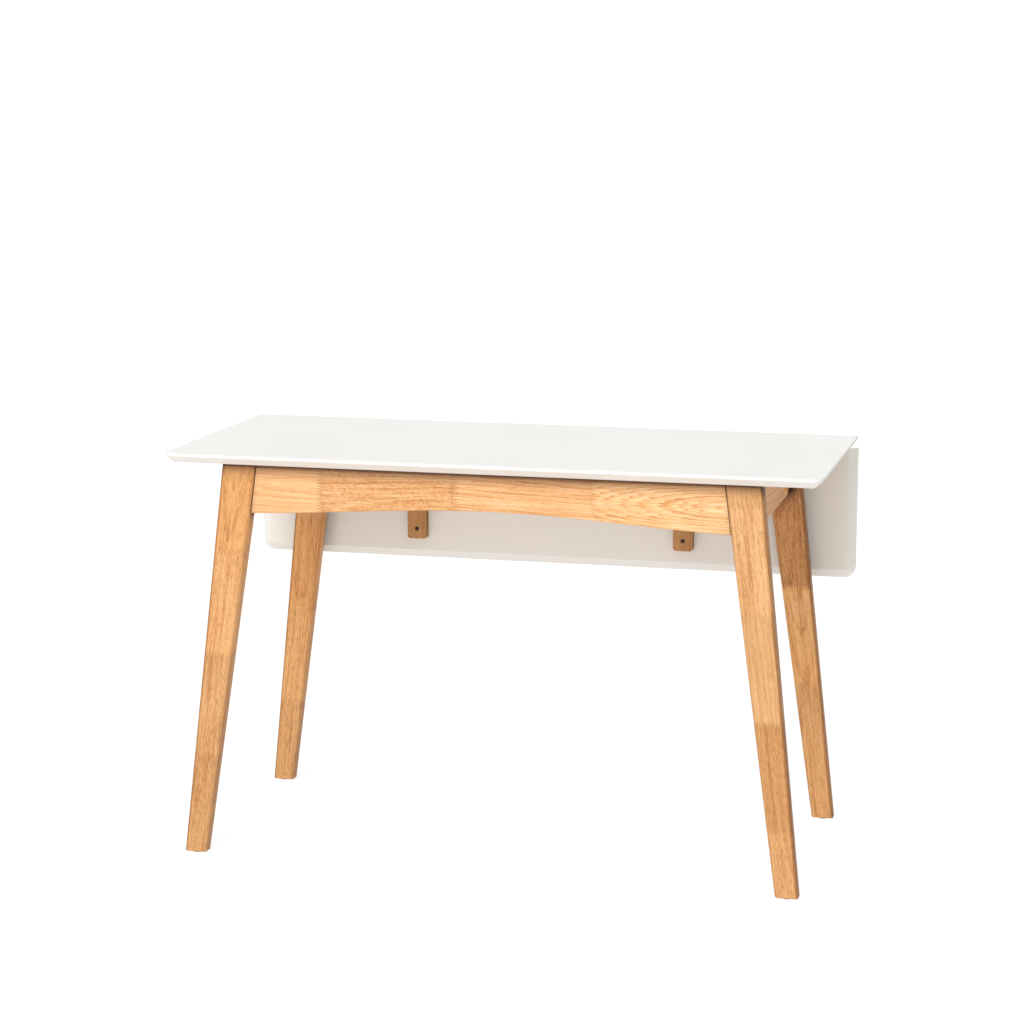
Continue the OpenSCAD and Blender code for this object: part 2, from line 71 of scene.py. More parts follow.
class Graph:
    """Short names for the shader nodes of one material."""

    def __init__(self, material):
        material.use_nodes = True
        self.tree = material.node_tree
        self.tree.nodes.clear()
        self.out = self.tree.nodes.new("ShaderNodeOutputMaterial")

    def node(self, kind, inputs=(), **settings):
        n = self.tree.nodes.new("ShaderNode" + kind)
        for k, v in settings.items():
            setattr(n, k, v)
        for key, value in dict(inputs).items():
            self.feed(n.inputs[key], value)
        return n

    def feed(self, socket, value):
        if isinstance(value, bpy.types.NodeSocket):
            self.tree.links.new(value, socket)
        elif value is not None:
            socket.default_value = value

    def math(self, op, a, b=None, c=None):
        n = self.node("Math", operation=op)
        for i, v in enumerate((a, b, c)):
            self.feed(n.inputs[i], v)
        return n.outputs[0]

    def vmath(self, op, a, b=None):
        n = self.node("VectorMath", operation=op)
        self.feed(n.inputs[0], a)
        self.feed(n.inputs[1], b)
        return n.outputs[0]

    def combine(self, x, y, z):
        return self.node("CombineXYZ", {0: x, 1: y, 2: z}).outputs[0]

    def split(self, vector):
        return self.node("SeparateXYZ", {0: vector}).outputs

    def noise(self, vector, scale=1.0, detail=2.0, rough=0.5, dims="3D", distort=0.0):
        key = "W" if dims == "1D" else "Vector"
        n = self.node("TexNoise", {key: vector, "Scale": scale, "Detail": detail,
                                   "Roughness": rough, "Distortion": distort},
                      noise_dimensions=dims)
        return n.outputs["Fac"]

    def ramp(self, value, stops, interpolation="LINEAR"):
        n = self.node("ValToRGB", {0: value})
        r = n.color_ramp
        r.interpolation = interpolation
        while len(r.elements) < len(stops):
            r.elements.new(0.5)
        for e, (place, colour) in zip(r.elements, stops):
            e.position = place
            e.color = (*colour[:3], 1.0)
        return n.outputs["Color"]

    def span(self, value, low, high, to_low=0.0, to_high=1.0):
        return self.node("MapRange", {0: value, 1: low, 2: high,
                                      3: to_low, 4: to_high}).outputs[0]

    def mix(self, fac, a, b, how="MIX"):
        n = self.node("Mix", data_type="RGBA", blend_type=how)
        self.feed(n.inputs[0], fac)
        self.feed(n.inputs[6], a)
        self.feed(n.inputs[7], b)
        return n.outputs[2]

    def times(self, colour, by):
        return self.mix(1.0, colour, by, "MULTIPLY")

    def bump(self, height, distance, strength=1.0):
        return self.node("Bump", {"Height": height, "Distance": distance,
                                  "Strength": strength}).outputs[0]

    def finish(self, colour, roughness, normal, **fixed):
        """Ends the material in one principled shader. fixed: its other sockets, _ for a space."""
        p = self.node("BsdfPrincipled", {"Base Color": colour, "Roughness": roughness,
                                         "Normal": normal})
        for k, v in fixed.items():
            p.inputs[k.replace("_", " ")].default_value = v
        self.tree.links.new(p.outputs[0], self.out.inputs[0])


def lin(r, g, b):
    """An sRGB colour, 0 to 255, as linear RGBA."""
    def one(c):
        c /= 255
        return c / 12.92 if c <= 0.04045 else ((c + 0.055) / 1.055) ** 2.4
    return (one(r), one(g), one(b), 1.0)


# Kinds of stave that follow each other along a piece of finger-jointed wood:
# (tone, arches, ripple), (ring contrast, pith across, pith depth), (flecks, amber, fine lines)
APRON_STAVES = [
    ((0.60, 0.20, 0.10), (0.40, 0.55, 0.35), (0.30, 0.35, 0.85)),
    ((0.50, 0.30, 1.00), (0.50, 0.30, 0.50), (0.65, 0.30, 0.80)),
    ((0.54, 0.30, 0.30), (0.75, 0.85, 0.45), (0.50, 0.25, 1.00)),
    ((0.66, 1.00, 0.10), (1.00, 0.50, 0.20), (0.40, 0.10, 0.80)),
    ((0.50, 0.15, 0.10), (0.55, 0.10, 0.40), (0.50, 0.35, 0.80)),
    ((0.40, 0.25, 0.20), (0.60, 0.75, 0.55), (0.70, 0.20, 0.90)),
    ((0.60, 0.70, 0.12), (0.90, 0.40, 0.20), (0.40, 0.55, 0.80)),
    ((0.45, 0.18, 0.45), (0.50, 0.20, 0.70), (0.60, 0.30, 0.90)),
]
LEG_STAVES = [
    ((0.20, 0.10, 0.15), (0.35, 0.55, 0.80), (0.90, 0.35, 0.85)),
    ((0.27, 0.15, 0.10), (0.35, 0.30, 0.70), (0.85, 0.40, 0.90)),
    ((0.48, 0.12, 0.10), (0.40, 0.85, 0.60), (0.95, 0.55, 0.80)),
    ((0.46, 0.20, 0.15), (0.45, 0.52, 0.85), (0.80, 0.90, 0.80)),
    ((0.40, 0.15, 0.10), (0.40, 0.20, 0.70), (0.80, 0.45, 0.85)),
    ((0.30, 0.12, 0.15), (0.35, 0.65, 0.75), (0.90, 0.45, 0.85)),
    ((0.12, 0.05, 0.20), (0.30, 0.10, 0.60), (0.75, 0.80, 0.60)),
    ((0.40, 0.10, 0.05), (0.30, 0.75, 0.85), (0.50, 0.08, 0.80)),
    ((0.50, 0.12, 0.10), (0.35, 0.40, 0.75), (0.90, 0.12, 0.90)),
    ((0.46, 0.12, 0.20), (0.35, 0.20, 0.90), (0.80, 0.25, 0.85)),
    ((0.40, 0.12, 0.10), (0.35, 0.52, 0.85), (0.80, 0.50, 0.80)),
    ((0.40, 0.15, 0.10), (0.40, 0.20, 0.70), (0.80, 0.50, 0.85)),
    ((0.70, 0.30, 0.10), (0.50, 0.50, 0.60), (0.80, 0.60, 0.80)),
    # The last two rows, the darkest, lie on the rear right leg's upper part as painted shade under
    # the top
    ((0.08, 0.35, 0.20), (0.65, 0.40, 0.60), (1.00, 1.00, 0.95)),
    ((0.00, 0.10, 0.20), (0.40, 0.70, 0.50), (1.00, 1.00, 0.90)),
]
ONE_PIECE = [((0.55, 0.15, 0.05), (0.35, 0.30, 0.60), (0.50, 0.40, 0.70))]
STAVE_L = 0.252
LEG_STAVE_L = 0.1917
UNCUT_L = 7.0                               # longer than any piece that has no finger joints
FINGER_PITCH = 0.0052
FINGER_L = 0.012
RINGS_PER_M = 230.0
# What a colour is multiplied by where it is amber, and by the painted shade on outward sides and
# deep in a corner
AMBER = (1.0, 0.86, 0.66, 1.0)
PAINTED_SIDE_SHADE = (0.60, 0.50, 0.36, 1.0)
PAINTED_CORNER_SHADE = (0.10, 0.052, 0.020, 1.0)


def stave_traits(g, kinds, number):
    """Nine values from 0 to 1 that stave number takes from its row of a stave table."""
    n = len(kinds)
    if n == 1:
        return kinds[0]
    cell = g.math("DIVIDE", g.math("ADD", g.math("FLOORED_MODULO", number, float(n)), 0.5), n)
    return [g.node("SeparateColor", {0: g.ramp(
        cell, [(i / n, s[k]) for i, s in enumerate(kinds)], "CONSTANT")}).outputs
        for k in range(3)]


def growth_rings(g, stretched, v, w, local, arches, across, deep_in):
    """How far a year has gone to its late wood, 0 to 1, round a pith line beside the stave.

    The pith leans against the stave, so that the rings close into arches on its face."""
    sway = g.math("MULTIPLY_ADD", stretched(5, 18, 2), 0.012, -0.006)
    sway_b = g.math("MULTIPLY_ADD", stretched(30, 80, 2), 0.0014, -0.0007)
    lean = g.math("MULTIPLY", arches, -0.14)
    pith_v = g.math("MULTIPLY_ADD", across, -0.16, 0.08)
    pith_w = g.math("MULTIPLY_ADD", deep_in, 0.10, 0.012)
    dv = g.math("ADD", g.math("ADD", g.math("ADD", v, pith_v), sway), sway_b)
    dw = g.math("ADD", g.math("ADD", w, pith_w), g.math("MULTIPLY_ADD", local, lean, sway_b))
    radius = g.math("SQRT", g.math("ADD", g.math("MULTIPLY", dv, dv), g.math("MULTIPLY", dw, dw)))
    # A year darkens slowly towards its late wood and stops sharply
    year = g.math("MULTIPLY_ADD", radius, RINGS_PER_M,
                  g.math("MULTIPLY", g.noise(radius, 75.0, 2.0, 0.55, dims="1D"), 3.0))
    part = g.math("FRACT", year)
    late = g.math("MULTIPLY", g.span(part, 0.60, 0.90), g.span(part, 1.0, 0.95))
    early = g.math("MULTIPLY", part, g.span(part, 1.0, 0.95))
    return g.math("MULTIPLY_ADD", late, 0.72, g.math("MULTIPLY", early, 0.28))


# The last two arguments set how strong the painted shade is deep in corners and on the sides that
# face out
def wood(name, pale, deep, dark, staves=None, stave_l=STAVE_L, gloss=0.52, coat=0.08, spread=1.0,
         glued=1.0, corners=1.0, side_shade=0.0):
    """Wood that reads the attribute "stock": x along the grain, y and z across it, in metres."""
    m = bpy.data.materials.new(name)
    g = Graph(m)
    stock = g.node("Attribute", attribute_name="stock").outputs["Vector"]
    u, v, w = g.split(stock)
    kinds = staves or ONE_PIECE
    length = stave_l if staves else UNCUT_L
    # Finger joints: the boundary between two staves runs in a zigzag across the wide face
    tooth = g.math("MULTIPLY_ADD", g.math("PINGPONG", v, FINGER_PITCH / 2),
                   2 * FINGER_L / FINGER_PITCH, -FINGER_L / 2)
    run = g.math("DIVIDE", g.math("ADD", u, tooth if staves else 0.0), length)
    number = g.math("FLOOR", run)
    along = g.math("FRACT", run)
    (tone_of, arches, rippled), (ring_of, across, deep_in), (flecked, amber, lined) = [
        (t[0], t[1], t[2]) for t in stave_traits(g, kinds, number)]
    chance = g.node("TexWhiteNoise", {"Vector": g.combine(number, 3.7, 1.3)},
                    noise_dimensions="3D").outputs["Color"]
    q = g.vmath("ADD", stock, g.vmath("MULTIPLY", chance, (1.7, 0.9, 0.9)))

    def stretched(a, b, detail, rough=0.5, distort=0.0):
        return g.noise(g.vmath("MULTIPLY", q, (a, b, b)), 1.0, detail, rough, distort=distort)

    local = g.math("MULTIPLY_ADD", along, length, -length / 2)
    ring = growth_rings(g, stretched, v, w, local, arches, across, deep_in)
    fade = g.span(stretched(6, 70, 2), 0.34, 0.60, 0.25, 1.0)
    ring = g.math("MULTIPLY", g.math("MULTIPLY", ring, fade),
                  g.math("MULTIPLY_ADD", ring_of, 0.85, 0.15))

    line = g.math("MULTIPLY", g.span(stretched(8, 360, 3, 0.6), 0.44, 0.66), lined)
    streak = g.span(stretched(3, 120, 2, 0.5), 0.34, 0.66)
    hair = g.span(stretched(26, 950, 2, 0.6), 0.35, 0.65)
    mottle = g.span(stretched(9, 34, 3, 0.55, 0.6), 0.32, 0.70)
    # Ripple: short cross-grain waves that catch the light
    ripple = g.math("MULTIPLY", g.span(stretched(210, 230, 2, 0.6, 0.8), 0.42, 0.62), rippled)

    # Together they set how dark the wood is
    depth = g.math("MULTIPLY", ring, 0.66)
    for layer, weight in ((line, 0.36), (streak, 0.16), (hair, 0.12), (mottle, 0.12),
                          (ripple, 0.26)):
        depth = g.math("MULTIPLY_ADD", layer, weight, depth)
    depth = g.span(depth, 0.14, 1.08)
    colour = g.ramp(depth, [(0.0, pale), (0.5, deep), (1.0, dark)])

    # Each stave has a tone of its own
    tone = g.math("MULTIPLY_ADD", tone_of, 0.70 * spread, 1.0 - 0.38 * spread)
    little = g.math("MULTIPLY_ADD", g.split(chance)[0], 0.06 * spread, -0.03 * spread)
    tone = g.math("ADD", tone, little)
    colour = g.times(colour, g.combine(tone, g.math("POWER", tone, 1.15),
                                       g.math("POWER", tone, 1.3)))
    colour = g.mix(amber, colour, g.times(colour, AMBER))

    # Flecks: dashes along the grain, darker and lighter than the ground, and fine dark vessels
    fleck = stretched(95, 620, 2, 0.5)
    dash = g.math("MULTIPLY", g.span(fleck, 0.54, 0.70), flecked)
    glint = g.math("MULTIPLY", g.span(fleck, 0.47, 0.32), flecked)
    vessel = g.span(stretched(230, 2100, 1, 0.4), 0.62, 0.72)
    colour = g.mix(g.math("MULTIPLY", glint, 0.45), colour, pale)
    pore = g.math("MAXIMUM", g.math("MULTIPLY", dash, 0.50), g.math("MULTIPLY", vessel, 0.26))
    colour = g.mix(pore, colour, (dark[0] * 0.62, dark[1] * 0.55, dark[2] * 0.48, 1.0))

    if staves:
        # Glue shows as a thin dark line down the teeth, stronger on some joints than on others
        gap = g.math("MULTIPLY", g.math("MINIMUM", along, g.math("SUBTRACT", 1.0, along)), length)
        glue = g.math("MULTIPLY", g.span(gap, 0.0006, 0.0022, 0.80 * glued, 0.0),
                      g.math("MULTIPLY_ADD", g.split(chance)[1], 0.6, 0.4))
        colour = g.mix(glue, colour, (dark[0] * 0.60, dark[1] * 0.50, dark[2] * 0.42, 1.0))

    # Sanded edges are a little darker and smoother where the lacquer has drawn back
    edge = g.node("Attribute", attribute_name="edge").outputs["Fac"]
    worn = g.math("MULTIPLY", edge, g.math("MULTIPLY_ADD", mottle, 0.5, 0.25))
    colour = g.mix(g.math("MULTIPLY", worn, 0.30), colour, dark)

    if side_shade:
        # Painted shade: the sides that face out to the left and right are darkened
        place = g.node("TexCoord").outputs
        facing = g.math("MULTIPLY", g.split(place["Normal"])[0],
                        g.math("SIGN", g.split(place["Object"])[0]))
        colour = g.mix(g.span(facing, 0.05, 0.60, 0.0, side_shade), colour,
                       g.times(colour, PAINTED_SIDE_SHADE))

    # Painted shade: the wood is darkened deep in a corner, as where an apron meets the top,
    # but not where a foot stands on the floor
    painted_shade_mask = g.node("AmbientOcclusion", {"Distance": 0.036}, samples=8).outputs["AO"]
    painted_shade_mask = g.math("POWER", g.span(painted_shade_mask, 0.66, 0.92), 2.1)
    height_z = g.split(g.node("TexCoord").outputs["Object"])[2]
    painted_shade_mask = g.math("MAXIMUM", painted_shade_mask, g.span(height_z, 0.06, 0.10, 1.0, 0.0))
    shaded = g.mix(corners, colour, g.times(colour, PAINTED_CORNER_SHADE))
    colour = g.mix(painted_shade_mask, shaded, colour)

    rough = g.math("MULTIPLY_ADD", streak, 0.10, gloss - 0.05)
    rough = g.math("MULTIPLY_ADD", pore, 0.25, rough)
    rough = g.math("MULTIPLY_ADD", worn, -0.08, rough)
    height = g.math("MULTIPLY_ADD", pore, -1.0, g.math("MULTIPLY", hair, 0.22))
    height = g.math("MULTIPLY_ADD", ripple, 0.25, height)
    g.finish(colour, rough, g.bump(height, 0.00022, 0.55), Coat_Weight=coat,
             Coat_Roughness=0.28, Coat_IOR=1.5, Specular_IOR_Level=0.35)
    return m


def lacquer(name, inner_shade=(1.0, 1.0, 1.0)):
    """White satin lacquer on board: soft mottling, fine orange peel and faint rub marks."""
    m = bpy.data.materials.new(name)
    g = Graph(m)
    p = g.node("TexCoord").outputs["Object"]
    cloud = g.noise(p, 3.0, 3.0, 0.55)
    cloud = g.span(cloud, 0.3, 0.7)
    fine = g.noise(p, 160.0, 2.0, 0.5)
    colour = g.mix(cloud, lin(238, 237, 234), lin(242, 240, 236))
    colour = g.mix(g.span(fine, 0.35, 0.65, 0.0, 0.10), colour, lin(231, 229, 225))
    # Rub marks: long faint streaks that only change the gloss
    rub = g.noise(g.vmath("MULTIPLY", p, (6.0, 90.0, 90.0)), 1.0, 3.0, 0.6, distort=0.4)
    rub = g.span(rub, 0.45, 0.75)
    edge = g.node("Attribute", attribute_name="edge").outputs["Fac"]
    scuff = g.math("MULTIPLY", edge, g.span(g.noise(p, 60.0, 4.0, 0.7), 0.56, 0.72))
    colour = g.mix(g.math("MULTIPLY", scuff, 0.35), colour, lin(205, 198, 187))
    # Painted shade: the flat inner face is tinted darker and warmer than the outer face and the
    # edges
    inner = g.node("Attribute", attribute_name="inner").outputs["Fac"]
    colour = g.times(colour, g.mix(inner, (1.0, 1.0, 1.0, 1.0), (*inner_shade, 1.0)))
    rough = g.math("MULTIPLY_ADD", cloud, 0.05, 0.36)
    rough = g.math("MULTIPLY_ADD", rub, 0.06, rough)
    rough = g.math("MULTIPLY_ADD", scuff, 0.2, rough)
    peel = g.noise(p, 420.0, 2.0, 0.5)
    wave = g.noise(p, 35.0, 1.0, 0.5)
    height = g.math("MULTIPLY_ADD", wave, 0.6, peel)
    g.finish(colour, rough, g.bump(height, 0.00006, 0.35),
             Coat_Weight=0.12, Coat_Roughness=0.18)
    return m


def zinc(name, tint=(0.66, 0.66, 0.65)):
    """Zinc-plated steel: spangled tone, fine rolling lines and smudged gloss."""
    m = bpy.data.materials.new(name)
    g = Graph(m)
    p = g.node("TexCoord").outputs["Object"]
    cloud = g.span(g.noise(p, 45.0, 4.0, 0.6), 0.3, 0.7)
    lines = g.span(g.noise(g.vmath("MULTIPLY", p, (60.0, 1400.0, 1400.0)), 1.0, 2.0), 0.3, 0.7)
    colour = g.mix(cloud, (*(c * 0.80 for c in tint), 1.0), (*tint, 1.0))
    colour = g.mix(g.span(g.noise(p, 14.0, 2.0), 0.5, 0.8, 0.0, 0.35), colour,
                   (tint[0] * 0.98, tint[1] * 0.92, tint[2] * 0.74, 1.0))
    rough = g.math("MULTIPLY_ADD", cloud, 0.14, 0.24)
    rough = g.math("MULTIPLY_ADD", lines, 0.08, rough)
    g.finish(colour, rough, g.bump(lines, 0.00003, 0.5), Metallic=1.0)
    return m


def rubber(name):
    m = bpy.data.materials.new(name)
    g = Graph(m)
    p = g.node("TexCoord").outputs["Object"]
    grit = g.noise(p, 900.0, 3.0, 0.6)
    dust = g.span(g.noise(p, 120.0, 4.0, 0.65), 0.5, 0.75)
    colour = g.mix(g.math("MULTIPLY", dust, 0.4), (0.022, 0.021, 0.020, 1.0),
                   (0.085, 0.078, 0.070, 1.0))
    rough = g.math("MULTIPLY_ADD", dust, 0.2, 0.58)
    g.finish(colour, rough, g.bump(grit, 0.0001, 0.4))
    return m


APRON_WOOD = wood("rubberwood", lin(246, 206, 158), lin(226, 166, 108), lin(190, 122, 64),
                  APRON_STAVES)
LEG_WOOD = wood("rubberwood_legs", lin(236, 188, 134), lin(208, 150, 94), lin(154, 98, 50),
                LEG_STAVES, LEG_STAVE_L, spread=0.9, glued=0.4, side_shade=0.9)
BATTEN_WOOD = wood("batten_wood", lin(196, 150, 100), lin(173, 123, 75), lin(130, 86, 46),
                   gloss=0.6, coat=0.02, spread=0.3, corners=0.45)
HIDDEN_WOOD = wood("block_wood", lin(222, 182, 132), lin(203, 156, 104), lin(163, 112, 66),
                   gloss=0.62, coat=0.0, spread=0.5, corners=0.6)
WHITE = lacquer("white_lacquer")
# The leaf's inner face takes a painted warm shade
LEAF_WHITE = lacquer("white_lacquer_leaf", (0.965, 0.935, 0.900))
ZINC = zinc("zinc_plate")
DARK_ZINC = zinc("black_screws", (0.045, 0.042, 0.040))
BLACK = rubber("black_rubber")


# ---------------------------------------------------------------- mesh helpers

def set_values(mesh, name, kind, values):
    a = mesh.attributes.new(name, kind, "POINT")
    key = "vector" if kind == "FLOAT_VECTOR" else "value"
    a.data.foreach_set(key, np.asarray(values, np.float32).ravel())


def coords(mesh):
    co = np.zeros(len(mesh.vertices) * 3)
    mesh.vertices.foreach_get("co", co)
    return co.reshape(-1, 3)


def smooth(obj, angle=35.0):
    obj.data.shade_smooth()
    obj.data.set_sharp_from_angle(angle=math.radians(angle))
    mod = obj.modifiers.new("normals", "WEIGHTED_NORMAL")
    mod.keep_sharp = True
    mod.weight = 80


def make(name, verts, faces, material, body, node, edge=None, stock=None, angle=35.0):
    """A piece in the CAD's frame that rides on a body and stands for a CAD node."""
    mesh = bpy.data.meshes.new(name)
    mesh.from_pydata([tuple(v) for v in verts], [], [tuple(f) for f in faces])
    bm = bmesh.new()
    bm.from_mesh(mesh)
    bmesh.ops.recalc_face_normals(bm, faces=bm.faces)
    bm.to_mesh(mesh)
    bm.free()
    mesh.validate()
    obj = bpy.data.objects.new(name, mesh)
    bpy.context.scene.collection.objects.link(obj)
    mesh.materials.append(material)
    co = coords(mesh)
    if edge is not None:
        set_values(mesh, "edge", "FLOAT", edge)
    if stock is not None:
        set_values(mesh, "stock", "FLOAT_VECTOR", stock(co))
    smooth(obj, angle)
    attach(obj, body)
    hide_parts(node)
    return obj


def loft(rings, closed_ends=True):
    """Vertices and faces through rings of equally many points."""
    n = len(rings[0])
    verts = [p for r in rings for p in r]
    faces = []
    for i in range(len(rings) - 1):
        for j in range(n):
            k = (j + 1) % n
            faces.append((i * n + j, i * n + k, (i + 1) * n + k, (i + 1) * n + j))
    if closed_ends:
        faces.append(tuple(range(n - 1, -1, -1)))
        faces.append(tuple((len(rings) - 1) * n + j for j in range(n)))
    return verts, faces


def arc(cx, cy, r, start, end, steps):
    """Points on an arc round (cx, cy), with both its ends."""
    return [(cx + r * math.cos(a), cy + r * math.sin(a))
            for a in (start + (end - start) * i / steps for i in range(steps + 1))]


# ---------------------------------------------------------------- boards

def board_outline(length, depth, inset, joint_inset):
    """The outline of a board whose joint edge lies on y = 0 and whose free edge is at -depth."""
    steps, nick = 8, 0.0006
    r = max(CORNER_R - inset, 0.0005)
    x, y = length / 2 - inset, -depth + inset
    left = arc(-x + r, y + r, r, math.pi, 1.5 * math.pi, steps)
    right = arc(x - r, y + r, r, 1.5 * math.pi, 2 * math.pi, steps)
    joint = [(x, -joint_inset - nick), (x - nick, -joint_inset), (-x + nick, -joint_inset),
             (-x, -joint_inset - nick)]
    return left + right + joint


def board(name, node, length, depth, place, body, material):
    """A lacquered board with softened edges. place turns board coordinates into the CAD's frame."""
    t, b, c = BOARD_T, BAND, CHAMFER_IN
    slope = Vector((c, t - b)).normalized()
    steps = 4
    # Each ring down the board's edge: height, inset, inset at the joint edge, wear
    rings = []
    for i in range(steps + 1):
        a = math.pi / 2 * i / steps
        inset = BOARD_SOFT * (1 - math.sin(a))
        rings.append((-BOARD_SOFT * (1 - math.cos(a)), inset, inset, math.sin(2 * a)))
    # The band turns into the chamfer over 0.8 mm, and the chamfer into the underside over 1 mm
    rings.append((-b + 0.0008, 0.0, 0.0, 0.0))
    rings.append((-b - 0.0001, 0.0001, 0.0, 0.9))
    rings.append((-b - 0.0008 * slope.y, 0.0008 * slope.x, 0.0, 0.0))
    rings.append((-t + 0.0010 * slope.y, c - 0.0010 * slope.x, 0.0, 0.0))
    rings.append((-t + 0.0002, c + 0.0001, 0.0002, 0.7))
    rings.append((-t, c + 0.0012, 0.0008, 0.0))
    loops, edge = [], []
    for z, inset, joint_inset, e in rings:
        loop = [(x, y, z) for x, y in board_outline(length, depth, inset, joint_inset)]
        loops.append([place(Vector(p)) for p in loop])
        edge += [e] * len(loop)
    verts, faces = loft(loops)
    obj = make(name, verts, faces, material, body, node, edge=edge, angle=28.0)
    # The last ring bounds the flat inner face
    rim = len(verts) - len(loops[0])
    set_values(obj.data, "inner", "FLOAT", [float(i >= rim) for i in range(len(verts))])


top_depth = top_high.y - top_low.y
board("top_board", "main_top", top_high.x - top_low.x, top_depth,
      lambda p: Vector((p.x, top_high.y + p.y, top_high.z + p.z)), "frame", WHITE)
leaf_depth = leaf_high.z - leaf_low.z
board("leaf_board", "drop_leaf", leaf_high.x - leaf_low.x, leaf_depth,
      lambda p: Vector((p.x, leaf_high.y + p.z, leaf_high.z + p.y)), "leaf", LEAF_WHITE)


# ---------------------------------------------------------------- legs

# Centre, width along X and thickness along Y of a leg, at the top and at the floor
LEG_TOP = (0.460, 0.225, 0.066, 0.032)
LEG_FOOT = (0.552, 0.249, 0.042, 0.026)


def leg_at(z):
    """A leg's centre x and y, its width and its thickness at height z."""
    k = (UNDER_Z - z) / UNDER_Z
    return [a + (b - a) * k for a, b in zip(LEG_TOP, LEG_FOOT)]


def leg_ring(z, inset, sx, sy):
    """A rounded rectangle across a leg at height z, and how far round an edge each point is."""
    x, y, wx, wy = leg_at(z)
    hx, hy, steps = wx / 2 - inset, wy / 2 - inset, 6
    r = max(LEG_R - inset, 0.001)
    points, edge = [], []
    for qx, qy, start in ((1, 1, 0), (-1, 1, 0.5), (-1, -1, 1.0), (1, -1, 1.5)):
        for i, (px, py) in enumerate(arc(qx * (hx - r), qy * (hy - r), r, start * math.pi,
                                         (start + 0.5) * math.pi, steps)):
            points.append((sx * (x + px), MID_Y + sy * (y + py), z))
            edge.append(math.sin(math.pi * i / steps))
    return points, edge


def leg(name, sx, sy, seed):
    """One leg, on the side sx, sy of the middle. seed sets where its staves begin."""
    heights = [(GLIDE_H + FOOT_R * (1 - math.cos(a)), FOOT_R * (1 - math.sin(a)))
               for a in (math.pi / 2 * i / 4 for i in range(5))]
    heights += [(z, 0.0) for z in np.linspace(0.03, UNDER_Z, 26)]
    loops, edge = [], []
    for z, inset in heights:
        points, e = leg_ring(z, inset, sx, sy)
        loops.append(points)
        edge += [max(v, 0.4 * inset / FOOT_R) for v in e]
    verts, faces = loft(loops)

    def stock(co):
        x, y, _, _ = leg_at(co[:, 2])
        return np.stack([co[:, 2] + seed, sx * co[:, 0] - x, sy * (co[:, 1] - MID_Y) - y], 1)
    make(name, verts, faces, LEG_WOOD, "frame", name, edge=edge, stock=stock)


leg("leg_front_left", -1, -1, 17 * LEG_STAVE_L - 0.378)
leg("leg_front_right", 1, -1, 22 * LEG_STAVE_L - 0.312)
leg("leg_rear_left", -1, 1, 32 * LEG_STAVE_L - 0.167)
# Its seed puts the two darkest staves on the upper part: painted shade under the top
leg("leg_rear_right", 1, 1, 43 * LEG_STAVE_L - 0.461)


# ---------------------------------------------------------------- aprons

def inner_x(z):
    x, _, wx, _ = leg_at(z)
    return x - wx / 2


def inner_y(z):
    _, y, _, wy = leg_at(z)
    return y - wy / 2


def apron(node, half_at, bottom_at, place, faces_at, seed):
    """An apron swept from leg to leg. Across it: a square top and rounded lower edges.

    half_at and bottom_at: half its length at a height, and its lower edge along its length.
    place: a point along, across and up the apron, in the CAD's frame."""
    front, back = faces_at
    r, steps, n = APRON_R, 5, 72
    loops, edge = [], []
    low_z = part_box(node)[0].z
    for i in range(n + 1):
        t = 2 * i / n - 1
        z0 = bottom_at(t * half_at(low_z))
        section = [(front, UNDER_Z, 0.0), (front, UNDER_Z - 0.02, 0.0)]
        for middle, start in ((front + r, math.pi), (back - r, 1.5 * math.pi)):
            turn = arc(middle, z0 + r, r, start, start + 0.5 * math.pi, steps)
            section += [(d, z, math.sin(math.pi * k / steps)) for k, (d, z) in enumerate(turn)]
        section.append((back, UNDER_Z, 0.0))
        loops.append([place(t * half_at(z), d, z) for d, z, _ in section])
        edge += [e for _, _, e in section]
    verts, faces = loft(loops)

    def stock(co):
        runs_along_x = place(1, 0, 0)[0] > 0.5
        along, across = (co[:, 0], co[:, 1]) if runs_along_x else (co[:, 1], co[:, 0])
        return np.stack([along + seed, co[:, 2] - GRAIN_Z, across - (front + back) / 2], 1)
    make(node, verts, faces, APRON_WOOD, "frame", node, edge=edge, stock=stock)


APRON_LOW = 0.642
APRON_RISE = 0.023    # how much higher the lower edge is at the middle of a long apron
WAVE = 0.520          # half the length of the cosine wave that the lower edge follows
GRAIN_Z = 0.690       # height of the middle of the grain pattern


def wave(x):
    return (1 + math.cos(math.pi * x / WAVE)) / 2


def arch(x):
    return APRON_LOW + APRON_RISE * (wave(x) - wave(inner_x(APRON_LOW)))


# One of the front apron's finger joints is 56 mm left of the middle
for node, seed in (("front_apron", 10 * STAVE_L + 0.056), ("rear_apron", 3.33)):
    low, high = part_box(node)
    apron(node, inner_x, arch, lambda a, d, z: (a, d, z), (low.y, high.y), seed)
for node, seed in (("right_apron", 37.5 * STAVE_L), ("left_apron", 17.5 * STAVE_L)):
    low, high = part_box(node)
    apron(node, inner_y, lambda x: APRON_LOW, lambda a, d, z: (d, MID_Y + a, z),
          (low.x, high.x), seed)


# ---------------------------------------------------------------- CAD nodes that stay

def keep(nodes, material, bevel, stock=None, segments=2):
    """Gives CAD nodes their material, and a bevel by modifier that eases their edges."""
    for n in nodes:
        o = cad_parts[n]
        o.data.materials.clear()
        o.data.materials.append(material)
        if stock is not None:
            set_values(o.data, "stock", "FLOAT_VECTOR", stock(coords(o.data), n))
        o.data.shade_smooth()
        o.data.set_sharp_from_angle(angle=math.radians(30))
        weld = o.modifiers.new("weld", "WELD")
        weld.merge_threshold = WELD
        if bevel:
            mod = o.modifiers.new("bevel", "BEVEL")
            mod.width = bevel
            mod.segments = segments
            mod.limit_method = "ANGLE"
            mod.angle_limit = math.radians(35)
            mod.harden_normals = True


